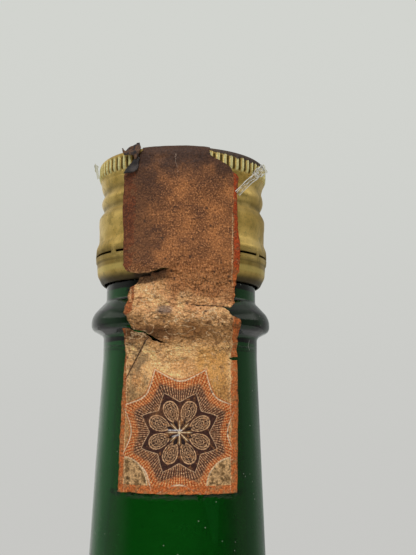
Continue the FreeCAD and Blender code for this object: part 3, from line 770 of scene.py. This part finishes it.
def rosette(finish, across, down, sizes, base, fine):
    """Eight-pointed guilloche rosette: hatched star, dark fringe, solid star and looped petals."""
    x = across - sizes.star_across
    y = sizes.star_drop - down
    reach = (x * x + y * y).root()
    angle = y.angle(x)
    eighth = (angle / (math.tau / 8)) % 1 - 0.5
    folded = abs(eighth) * 2
    hatch = (angle * 120 + (fine - 0.5) * 9).sine()
    broken = fine.rise(0.36, 0.5)
    outer = star_edge(folded, 11.55, 8.75, 2.0)
    fringe = star_edge(folded, 8.9, 7.2, 1.5)
    solid = star_edge(folded, 7.1, 5.15, 1.4)
    hatch_tone = hatch.rise(-0.25, 0.5) * broken * 0.75
    dots = (reach * 15 + hatch * 0.6).sine().rise(0.3, 0.9) * 0.6
    hatched = finish.coats(sizes.orange, (hatch_tone, (238, 190, 128)), (dots, (140, 60, 28)))
    rays = (angle * 112 + (fine - 0.5) * 8).sine().rise(-0.1, 0.8) * fine.rise(0.4, 0.52)
    rows = (reach * 11 + rays * 0.8).sine().rise(0.2, 0.9) * 0.55
    dark = finish.coats((84, 56, 42), (rays * 0.85, (228, 180, 134)), (rows, (72, 44, 32)))
    turn = eighth * (math.tau / 8)
    along = reach * turn.cosine()
    aside = reach * turn.sine()
    fan = aside / (0.78 + along * 0.12)
    stretch = (along - 3.72) / 1.86
    petal = (stretch * stretch + fan * fan).root()
    wave = (along * 6.0).sine()
    loops = (fan * 2.6 + wave * 0.26 + (fine - 0.5) * 0.3) % 1
    twins = (fan * 2.6 - wave * 0.26 + (fine - 0.5) * 0.3) % 1
    nested = (petal * 3.4 + wave * 0.1) % 1
    lines = loops.near(0.5, 0.02, 0.12).most(twins.near(0.5, 0.02, 0.12)) * 0.65
    lines = lines.most(nested.near(0.4, 0.03, 0.12) * 0.85).most(petal.near(0.95, 0.02, 0.07) * 0.85)
    lines = lines * (0.35 + fine.rise(0.38, 0.55) * 0.65)
    inner = finish.mix(lines, (58, 36, 28), (240, 194, 146))
    centre = (2.6 - reach - folded * 0.9).rise(-0.3, 0.3) * folded.rise(0.25, 0.6)
    ray = (2.4 - reach).rise(0, 0.9) * (reach * (1 - folded) * (math.tau / 16)).rise(0.1, 0.02)
    drop_x = (along - 1.55) / 0.62
    drop_y = aside / (0.34 * (along / 1.7).least(1.15))
    drops = (drop_x * drop_x + drop_y * drop_y).rise(1.2, 0.8)
    worn = y.near(0.35, 0.03, 0.2) * x.near(-0.75, 0.9, 0.5)
    worn = worn.most((y - x * 0.3).near(-0.35, 0.05, 0.15) * x.near(-0.6, 0.45, 0.3))
    return finish.coats(
        base,
        ((outer - reach).rise(-0.05, 0.1), hatched),
        (reach.near(outer + 0.16, 0.02, 0.16) * 0.7, sizes.orange),
        (reach.near(outer - 0.14, 0.06, 0.14) * (0.4 + broken * 0.4), (232, 214, 182)),
        ((fringe - reach).rise(-0.4, 0.4) * (0.75 + 0.25 * broken), dark),
        ((solid + 0.1 - reach).rise(-0.05, 0.12) * 0.85, (214, 180, 142)),
        ((solid - 0.02 - reach).rise(-0.02, 0.12), sizes.ink),
        ((1.04 - petal).rise(-0.02, 0.06), inner),
        (centre * 0.55, (168, 128, 78)),
        (ray * 0.9, (244, 222, 184)),
        (drops, (40, 26, 24)),
        (worn * 0.75, (196, 196, 200)),
    )


def strip_finish(sizes):
    """Old printed paper: stains down the cap, orange borders and the rosette on the neck, with painted
    shade under the ring, in the creases, under the torn lip and along the folds, and painted highlights on
    the folds.
    """
    finish = new_finish("aged printed paper")
    flat = finish.stored("flat")
    across, down, behind = finish.parts(flat)
    front = behind.rise(4, 2)
    fine = finish.grain(flat, 3.4, 4.0, 0.65)
    fibre = finish.grain(finish.scaled(flat, (1, 0.22, 1)), 4.2, 3.0, 0.6)
    clouds = finish.grain(flat, 0.2, 4.0, 0.55)
    patches = finish.grain(finish.shifted(flat, (31, 7, 0)), 0.34, 4.0, 0.6)
    spots = finish.spots(flat, 0.55)
    speck = finish.spots(finish.shifted(flat, (5, 3, 0)), 1.25)

    charred = (down + (clouds - 0.5) * 10).rise(8.5, 1.5) * (0.45 + 0.45 * down.rise(-7, -1))
    left_stain = (across + (clouds - 0.5) * 8).rise(-1.5, -6) * down.near(11, 8, 4)
    cap = finish.coats(
        sizes.brown,
        (clouds.rise(0.4, 0.62), (166, 110, 64)),
        (patches.rise(0.5, 0.64) * 0.6, (86, 56, 40)),
        (fine.rise(0.53, 0.62) * 0.7, (206, 147, 94)),
        (fine.rise(0.47, 0.37) * 0.7, (62, 38, 26)),
        (charred * (0.3 + 0.7 * front), sizes.chocolate),
        (left_stain * 0.6, sizes.chocolate),
    )

    mottle = finish.grain(finish.shifted(flat, (3, 11, 0)), 0.95, 4.0, 0.65)
    sides = across.near(0.5, 5.0, 2.5)
    grey = across.near(-6.9, 1.2, 1.4) * down.near(43, 8, 3) * patches.rise(0.38, 0.56)
    ochre = across.near(6.2, 2.2, 1.6) * down.near(42, 5, 3) * mottle.rise(0.36, 0.5)
    hazy = down.near(31.8, 1.0, 2.0) * patches.rise(0.35, 0.6)
    # Painted shade under the pouring ring.
    under_ring_shade = down.near(33.3, 0.5, 1.2) * (across + clouds * 4).near(-2.5, 3.6, 2.2)
    mark = across.near(-2.2, 0.7, 1.0) * down.near(29.3, 0.35, 0.6) * fine.rise(0.3, 0.45)
    # Thin lines for the painted highlights and painted shade of the crumpled folds.
    ridge_highlight = abs(finish.grain(finish.scaled(flat, (0.6, 1, 1)), 0.33) - 0.5)
    fold_shade = abs(finish.grain(finish.shifted(flat, (13, 2, 0)), 0.3) - 0.5)
    folded = down.near(28.5, 5.5, 3) * fine.rise(0.36, 0.5)
    neck = finish.coats(
        sizes.beige,
        (clouds.rise(0.4, 0.68) * 0.6, (196, 138, 76)),
        (patches.rise(0.5, 0.68) * 0.5, (168, 128, 88)),
        (mottle.rise(0.5, 0.38) * (0.85 - sides * 0.5), (140, 98, 52)),
        (fine.rise(0.53, 0.62) * 0.55, (255, 226, 182)),
        (fine.rise(0.47, 0.37) * 0.5, (146, 88, 46)),
        (grey * 0.7, (128, 112, 84)),
        (ochre * 0.7, (196, 140, 62)),
        (down.rise(33, 29) * patches.rise(0.62, 0.42) * 0.45, (236, 172, 122)),
        (hazy * 0.75, (150, 108, 66)),
        # Painted shade under the pouring ring: a warm band and a darker patch.
        (down.near(33.2, 0.9, 1.6) * 0.5, (132, 82, 32)),
        (under_ring_shade * 0.6, (104, 70, 44)),
        (mark * 0.8, (112, 100, 96)),
        # Painted highlights and painted shade along the crumpled folds.
        (ridge_highlight.rise(0.014, 0.002) * folded * 0.6, (255, 222, 176)),
        (fold_shade.rise(0.014, 0.002) * folded * 0.6, (104, 66, 38)),
        (down.rise(40, 44) * (0.3 + mottle.rise(0.4, 0.6) * 0.25), (146, 108, 60)),
    )
    tan = finish.mix(fibre.rise(0.35, 0.62), (112, 68, 36), (174, 115, 66))
    tan = finish.mix(fine.rise(0.53, 0.62) * 0.5, tan, (220, 164, 112))
    low = (down + (clouds - 0.5) * 5).rise(21.8, 23.6)
    right_side = (across + (clouds - 0.5) * 6).rise(-4.2, -0.8)
    stay = right_side * down.rise(19.5, 22.5) * (down + (patches - 0.5) * 8).rise(29.5, 25.5)
    body = finish.coats(cap, (low, neck), (stay * 0.9, tan))
    rubbed = mottle.rise(0.56, 0.64) * 0.45 + clouds.rise(0.5, 0.66) * 0.2
    printed = finish.mix(rubbed, rosette(finish, across, down, sizes, body, fine), (178, 124, 76))

    half = abs(across - 0.23)
    away = 9.6 - half
    under = BORDER_DROP - down
    quarter = (away * away + under * under).root()
    corner = (under > 0) * (away > 0)
    field = finish.mix(mottle.rise(0.42, 0.6), (206, 168, 118), (118, 92, 56))
    top_red = down.rise(24, 20)
    left = across < 0
    wander = (finish.grain(finish.scaled(flat, (0.2, 1, 1)), 0.5) - 0.5) * 0.9
    slipped = down.near(27.2, 2.0, 1.2) * left * 1.6
    slipped = slipped.most(left * top_red * (1.0 + (patches - 0.5) * 5).rise(0, 1) * 1.5)
    chewed = (mottle - 0.5) * (0.7 + top_red * left * 3)
    border = (half + wander + slipped + chewed - top_red * 0.15).rise(9.62, 9.85)
    border = border.most((down - BORDER_DROP).rise(-0.08, 0.08))
    ink = finish.coats(
        sizes.orange,
        (top_red, finish.mix(left, (156, 56, 16), (118, 62, 36))),
        (left * down.rise(47, 40) * 0.6, (118, 58, 32)),
        (fine.rise(0.46, 0.6) * 0.55, finish.mix(top_red, (218, 146, 86), (190, 88, 36))),
        (top_red * left * mottle.rise(0.56, 0.46) * 0.7, (66, 38, 24)),
        (mottle.rise(0.47, 0.58) * 0.6, (122, 70, 38)),
    )
    worn = mottle.rise(0.62, 0.5) * fine.rise(0.36, 0.46)
    edging = (half + wander).near(9.58, 0.03, 0.1) * fine.rise(0.42, 0.52)
    edging = edging * (down.rise(31, 34) * 0.6).most(down.near(18, 5, 2) * across.rise(0, 1) * 0.8)

    stains = spots.rise(0.2, 0.08) * (finish.grain(flat, 0.3) > 0.5)
    stains = stains.most(speck.rise(0.16, 0.06) * 0.6 * (finish.grain(flat, 0.5) > 0.52))
    fold = across + 6.5 + (down - 36) * 0.62 + (fine - 0.5) * 0.3
    crease_shade = fold.near(0, 0.05, 0.16) * down.near(37.5, 3.0, 1.0)
    below_lip = down - (LIP_DROP - across.rise(-5.6, -1.9) * 0.85)
    notch_shadow = (below_lip - 0.75 - (patches - 0.5) * 1.5).near(0, 0.6, 0.4) * across.rise(-1.3, -2.6)
    crack_shade = (down - 28.55 - (patches - 0.5) * 1.2).near(0, 0.03, 0.12) * across.rise(1.5, 3)
    # Painted shade in the long crease, under the torn lip and in the crack.
    shadowed = crease_shade.most(notch_shadow * 0.9).most(crack_shade * 0.8) * front
    fringe = (below_lip + 0.1 + (fine - 0.5) * 0.6).near(0, 0.06, 0.2) * across.rise(-1, -2.5)
    thread = (across + 0.6 + (patches - 0.5) * 2.4).near(0, 0.03, 0.07) * down.near(3.4, 1.5, 0.4)
    body = finish.coats(
        body,
        (down.rise(36.5, 37.5) * front, printed),
        ((4.5 - quarter).rise(-0.06, 0.1) * corner, field),
        (quarter.near(4.5, 0.06, 0.14) * corner * 0.8, (224, 200, 160)),
        (border * (0.4 + 0.55 * worn) * (1 - top_red * left * 0.3), ink),
        (edging, (226, 190, 148)),
        (stains * 0.75, (58, 44, 36)),
        # Painted shade of the crease, the torn lip and the crack.
        (shadowed * 0.85, (62, 42, 32)),
        (fringe * front * 0.6, (190, 142, 96)),
        (thread * fine.rise(0.42, 0.6) * 0.6, (196, 176, 156)),
    )
    coarse = finish.grain(finish.shifted(flat, (17, 23, 0)), 2.6, 4.0, 0.7)
    low_print = down.rise(39, 42) * front
    contrast = 1.04 - low_print * 0.07 + (coarse - 0.5) * (2.3 + low_print * 1.0)
    body = finish.tone(finish.scaled(body, (1.07, 1.0, 0.97)), contrast)
    body = finish.vector("MINIMUM", body, (0.96, 0.96, 0.96))

    rough = 0.72 + 0.16 * fine - down.rise(8, 2) * 0.22
    height = fine * 0.5 + fibre * 0.5 + patches * 1.6 + speck.rise(0.0, 0.3) * 0.4 - shadowed
    crumple = abs(finish.grain(finish.scaled(flat, (0.8, 1, 1)), 0.42, 3.0, 0.55) - 0.5)
    crumple = crumple * (down.rise(19, 25) * down.rise(40, 34) * 0.85 + 0.15)
    normal = finish.bump(height, 0.16, finish.bump(crumple, 4.2))
    return finish.surface(finish.skin(body, rough, Normal=normal, Specular_IOR_Level=0.3))


def scrap_finish(name, dark, pale, roughness):
    """Thin torn paper, darkened by age."""
    finish = new_finish(name)
    at = finish.place()
    fine = finish.grain(at, 3.5, 4.0, 0.65)
    broad = finish.grain(at, 0.9, 3.0, 0.6)
    body = finish.coats(
        dark,
        (broad.rise(0.42, 0.58), pale),
        (fine.rise(0.55, 0.72) * 0.4, finish.tone(Color(shade(*pale)), 1.6)),
    )
    return finish.surface(
        finish.skin(body, roughness + 0.1 * fine, Normal=finish.bump(fine + broad, 0.12))
    )


def bend_scrap(bm, place_of):
    """Carries a flat scrap (across, along) to its bent place, both in millimetres."""
    for vert in bm.verts:
        vert.co = Vector(place_of(vert.co.x, vert.co.y)) * MM
    face_outward(bm)


class BOTTLE_OT_scraps(bpy.types.Operator):
    """Add the charred flap and the curled leaf torn from the strip at its upper left corner"""
    bl_idname = "bottle.scraps"
    bl_label = "Torn scraps"

    def execute(self, context):
        thin = context.scene.bottle_paper.paper
        cells = [((1, 0, 0), -12.0, -5.0, 0.25), ((0, 1, 0), -2.0, 6.0, 0.25)]
        flap = bmesh.new()
        cut_sheet(flap, [
            (-9.75, 4.75), (-7.95, 4.65), (-7.35, 4.2), (-7.2, 3.2), (-7.0, 2.2), (-7.5, 1.6),
            (-8.1, 2.5), (-8.9, 3.3), (-9.5, 4.0),
        ], cells, (0.4, 0.1))
        bend_scrap(flap, self.flap_place)
        dark = scrap_finish("charred paper", (44, 38, 38), (72, 62, 58), 0.55)
        piece = finish_piece(flap, "torn_paper_flap", dark, "torn_flap", 70)
        give_thickness(piece, thin, 1)
        curl = bmesh.new()
        cut_sheet(curl, [
            (-10.62, -0.2), (-10.4, -0.15), (-10.1, 0.35), (-9.8, 0.5), (-9.55, 0.15), (-8.9, -0.2),
            (-8.0, -0.42), (-7.7, -0.4), (-7.85, -0.6), (-7.6, -0.74), (-7.25, -0.66), (-7.2, -0.3),
            (-6.95, 0.3), (-7.05, 0.75), (-7.5, 1.8), (-7.85, 2.4), (-8.15, 2.2), (-8.25, 1.65),
            (-9.0, 1.4), (-10.1, 1.25), (-10.35, 0.8),
        ], cells, (0.3, 0.06))
        bend_scrap(curl, self.curl_place)
        brown = scrap_finish("curled brown paper", (112, 78, 52), (50, 43, 44), 0.6)
        piece = finish_piece(curl, "curled_paper_leaf", brown, "torn_curl", 70)
        give_thickness(piece, thin, 1)
        return {"FINISHED"}

    def flap_place(self, across, down):
        lift = 0.35 + 0.25 * noise.noise(Vector((across, down, 2))) + 0.5 * ease(-across, 7.3, 9.6)
        return on_strip(across * 1.04, down, lift)

    def curl_place(self, across, down):
        """Stands up from the crown's edge, hollow in the middle and leaning back at the top."""
        hollow = bell(down, 0.35, 0.45) * bell(across, -8.8, 1.1)
        ripple = noise.noise(Vector((across * 1.6, down * 1.6, 4)))
        radius = 16.75 - 0.5 * ease(-down, -0.6, 0.9) - 0.35 * hollow + 0.22 * ripple
        return (across, -math.sqrt(radius * radius - across * across), TOP - down)


def film_finish(sizes):
    """Clear film: see-through, with painted highlight lines where it is folded and along its torn edges.
    """
    finish = new_finish("clear crumpled film")
    ribbon = finish.stored("ribbon")
    along, side, haze = finish.parts(ribbon)
    wander = finish.grain(finish.scaled(ribbon, (1, 0.3, 1)), 0.5, 3.0) - 0.5
    fold = finish.grain(ribbon, 1.3, 3.0, 0.6)
    edges = abs(side).near(0.44, 0.02, 0.05)
    pleats = (side + wander * 0.9).near(0.16, 0.01, 0.05)
    pleats = pleats.most((side - wander * 1.1).near(-0.22, 0.01, 0.04))
    knots = abs(fold - 0.5).rise(0.03, 0.01) * along.rise(4.4, 5.6)
    # Painted highlights along the folds, the torn edges and the curled knots.
    bright = edges.most(pleats * fold.rise(0.36, 0.56)).most(knots * 0.9)
    clear = finish.node("ShaderNodeBsdfTransparent", None, {"Color": sizes.tint})
    gloss = finish.skin((250, 248, 240), 0.3, Normal=finish.bump(fold, 0.2))
    mask = (0.05 + bright * 0.8).least(0.9) * (1 - haze) + haze * (fold.rise(0.42, 0.66) * 0.2)
    return finish.surface(finish.covered(mask, clear, gloss))


class BOTTLE_OT_film(bpy.types.Operator):
    """Crumple the two torn ends of clear film that still cling to the cap"""
    bl_idname = "bottle.film"
    bl_label = "Film ends"

    def execute(self, context):
        wide = context.scene.bottle_film.width
        film = film_finish(context.scene.bottle_film)
        runs = [
            ("film_end_right", "film_scrap_right", (10.2, 8.0, 16.45), (15.6, 1.5, 17.0), wide, 0),
            ("film_end_left", "film_scrap_left", (-15.8, 3.4, 16.45), (-16.5, 0.6, 17.1), wide * 1.3, 1),
        ]
        for name, node, start, end, width, haze in runs:
            bm = bmesh.new()
            bmesh.ops.create_grid(bm, x_segments=70, y_segments=12, size=0.5)
            length = math.dist(start, end)
            ribbon = bm.verts.layers.float_vector.new("ribbon")
            for vert in bm.verts:
                part, side = vert.co.x + 0.5, vert.co.y
                vert[ribbon] = (part * length, side, haze)
                vert.co = self.place(part, side, start, end, width)
            face_outward(bm)
            piece = finish_piece(bm, name, film, node, 60)
            give_thickness(piece, 0.03, 1)
        return {"FINISHED"}

    def place(self, part, side, start, end, width):
        """A point of the ribbon: part runs 0 to 1 along it, side -0.5 to 0.5 across it."""
        x, drop, radius = [first + (last - first) * part for first, last in zip(start, end)]
        spread = width * (0.75 + 0.5 * ease(part, 0.55, 0.9) - 0.6 * ease(part, 0.93, 1.0))
        seed = Vector((part * 5, side * 2.2, end[0]))
        folds = scatter(seed) * 0.3 + scatter(seed * 2.6) * 0.16
        folds *= 0.25 + ease(part, 0.35, 0.85)
        x = max(min(x + side * spread * 0.72 + folds.y, radius - 0.02), 0.02 - radius)
        radius += abs(folds.x) * 0.6
        drop += side * spread * 0.7 + folds.z
        return Vector((x, -math.sqrt(radius * radius - x * x), TOP - drop)) * MM


class BOTTLE_OT_stage(bpy.types.Operator):
    """Set the pale floor, the backdrop's colour, the soft lamps and the camera"""
    bl_idname = "bottle.stage"
    bl_label = "Stage"

    def execute(self, context):
        sizes = context.scene.bottle_stage
        self.floor(sizes)
        self.backdrop(context.scene, sizes)
        self.lamp("key_lamp", (-0.3, -1.0, 1.35), 0.7, sizes.key, True)
        self.lamp("fill_lamp", (1.15, -0.75, 0.7), 1.1, sizes.fill, False)
        camera = bpy.data.cameras.new("camera")
        camera.lens = 53.19
        camera.sensor_width = 36
        camera.clip_start = 0.01
        viewer = put("camera", camera)
        tilt = Matrix.Rotation(math.radians(97.81), 4, "X") @ Matrix.Rotation(math.radians(0.55), 4, "Z")
        viewer.matrix_world = Matrix.Translation((0.00511, -0.156, (TOP - 42.8) * MM)) @ tilt
        context.scene.camera = viewer
        context.scene.view_settings.view_transform = "Standard"
        return {"FINISHED"}

    def floor(self, sizes):
        bm = bmesh.new()
        bmesh.ops.create_circle(bm, cap_ends=True, segments=96, radius=sizes.floor_radius * MM)
        bmesh.ops.translate(bm, verts=bm.verts, vec=(0, 0, REST * MM - 0.0002))
        mesh = bpy.data.meshes.new("floor")
        bm.to_mesh(mesh)
        bm.free()
        floor = put("floor", mesh)
        finish = new_finish("pale floor")
        grain = finish.grain(finish.place(), 0.02)
        pale = finish.mix(grain, sizes.floor, finish.tone(sizes.floor, 0.97))
        mesh.materials.append(finish.surface(finish.skin(pale, 0.8)))

    def backdrop(self, scene, sizes):
        """Pale for the eye and through glass, darker in mirrored light, plain light for the rest."""
        scene.world = bpy.data.worlds.new("pale room")
        finish = Finish(scene.world)
        toward = finish.node("ShaderNodeTexCoord", None, None, "Generated")
        x, y, z = finish.parts(toward)
        path = finish.node("ShaderNodeLightPath").link.node
        eye, mirrored, through = (
            Socket(finish, path.outputs[f"Is {kind} Ray"]) for kind in ("Camera", "Glossy", "Transmission")
        )
        wall = finish.mix(z.rise(-0.25, 0.45), (199, 199, 196), sizes.backdrop)
        to_right = x.rise(-0.1, 0.3)
        glow = y.near(0.1, 0.2, 0.35) * z.rise(0.18, 0.28) * z.rise(0.6, 0.46)
        room = finish.coats(
            (30, 34, 32),
            (y.rise(-0.6, 0.1), finish.mix(to_right, (142, 146, 140), (108, 110, 104))),
            (y.rise(0.4, 0.95), finish.mix(to_right, sizes.backdrop, (150, 154, 150))),
            (z.rise(0.3, 0.8), (160, 160, 156)),
            (glow, Color((0.8, 0.79, 0.74))),
        )
        room = finish.mix(mirrored, wall, room)
        look = eye.most(mirrored).most(through)
        tinted = finish.mix(look, Color((0.36, 0.36, 0.355)), room)
        light = finish.node("ShaderNodeBackground", None, {"Color": tinted, "Strength": 1.0})
        finish.node("ShaderNodeOutputWorld", None, {"Surface": light})

    def lamp(self, name, place, across, power, mirrored):
        light = bpy.data.lights.new(name, "AREA")
        light.shape = "DISK"
        light.size = across
        light.energy = power
        lamp = put(name, light)
        middle = Vector((0, 0, (TOP - 40) * MM))
        lamp.location = place
        lamp.rotation_euler = (middle - Vector(place)).to_track_quat("-Z", "Y").to_euler()
        lamp.visible_glossy = mirrored


OPERATORS = (
    BOTTLE_OT_glass, BOTTLE_OT_drink, BOTTLE_OT_cap, BOTTLE_OT_strip, BOTTLE_OT_scraps, BOTTLE_OT_film,
    BOTTLE_OT_stage,
)


class BOTTLE_PT_panel(bpy.types.Panel):
    """Lists the steps that dress the bottle"""
    bl_label = "Calvados Bottle"
    bl_idname = "BOTTLE_PT_panel"
    bl_space_type = "VIEW_3D"
    bl_region_type = "UI"
    bl_category = "Bottle"

    def draw(self, context):
        for operator in OPERATORS:
            self.layout.operator(operator.bl_idname)


SETTINGS = {
    "bottle_glass": GlassSettings,
    "bottle_drink": DrinkSettings,
    "bottle_cap": CapSettings,
    "bottle_paper": PaperSettings,
    "bottle_film": FilmSettings,
    "bottle_stage": StageSettings,
}


def register():
    for group in SETTINGS.values():
        bpy.utils.register_class(group)
    for operator in OPERATORS:
        bpy.utils.register_class(operator)
    bpy.utils.register_class(BOTTLE_PT_panel)
    for name, group in SETTINGS.items():
        setattr(bpy.types.Scene, name, PointerProperty(type=group))


def unregister():
    for name in SETTINGS:
        delattr(bpy.types.Scene, name)
    bpy.utils.unregister_class(BOTTLE_PT_panel)
    for operator in reversed(OPERATORS):
        bpy.utils.unregister_class(operator)
    for group in reversed(SETTINGS.values()):
        bpy.utils.unregister_class(group)


def main():
    register()
    bpy.ops.bottle.glass()
    bpy.ops.bottle.drink()
    bpy.ops.bottle.cap()
    bpy.ops.bottle.strip()
    bpy.ops.bottle.scraps()
    bpy.ops.bottle.film()
    bpy.ops.bottle.stage()


if __name__ == "__main__":
    main()
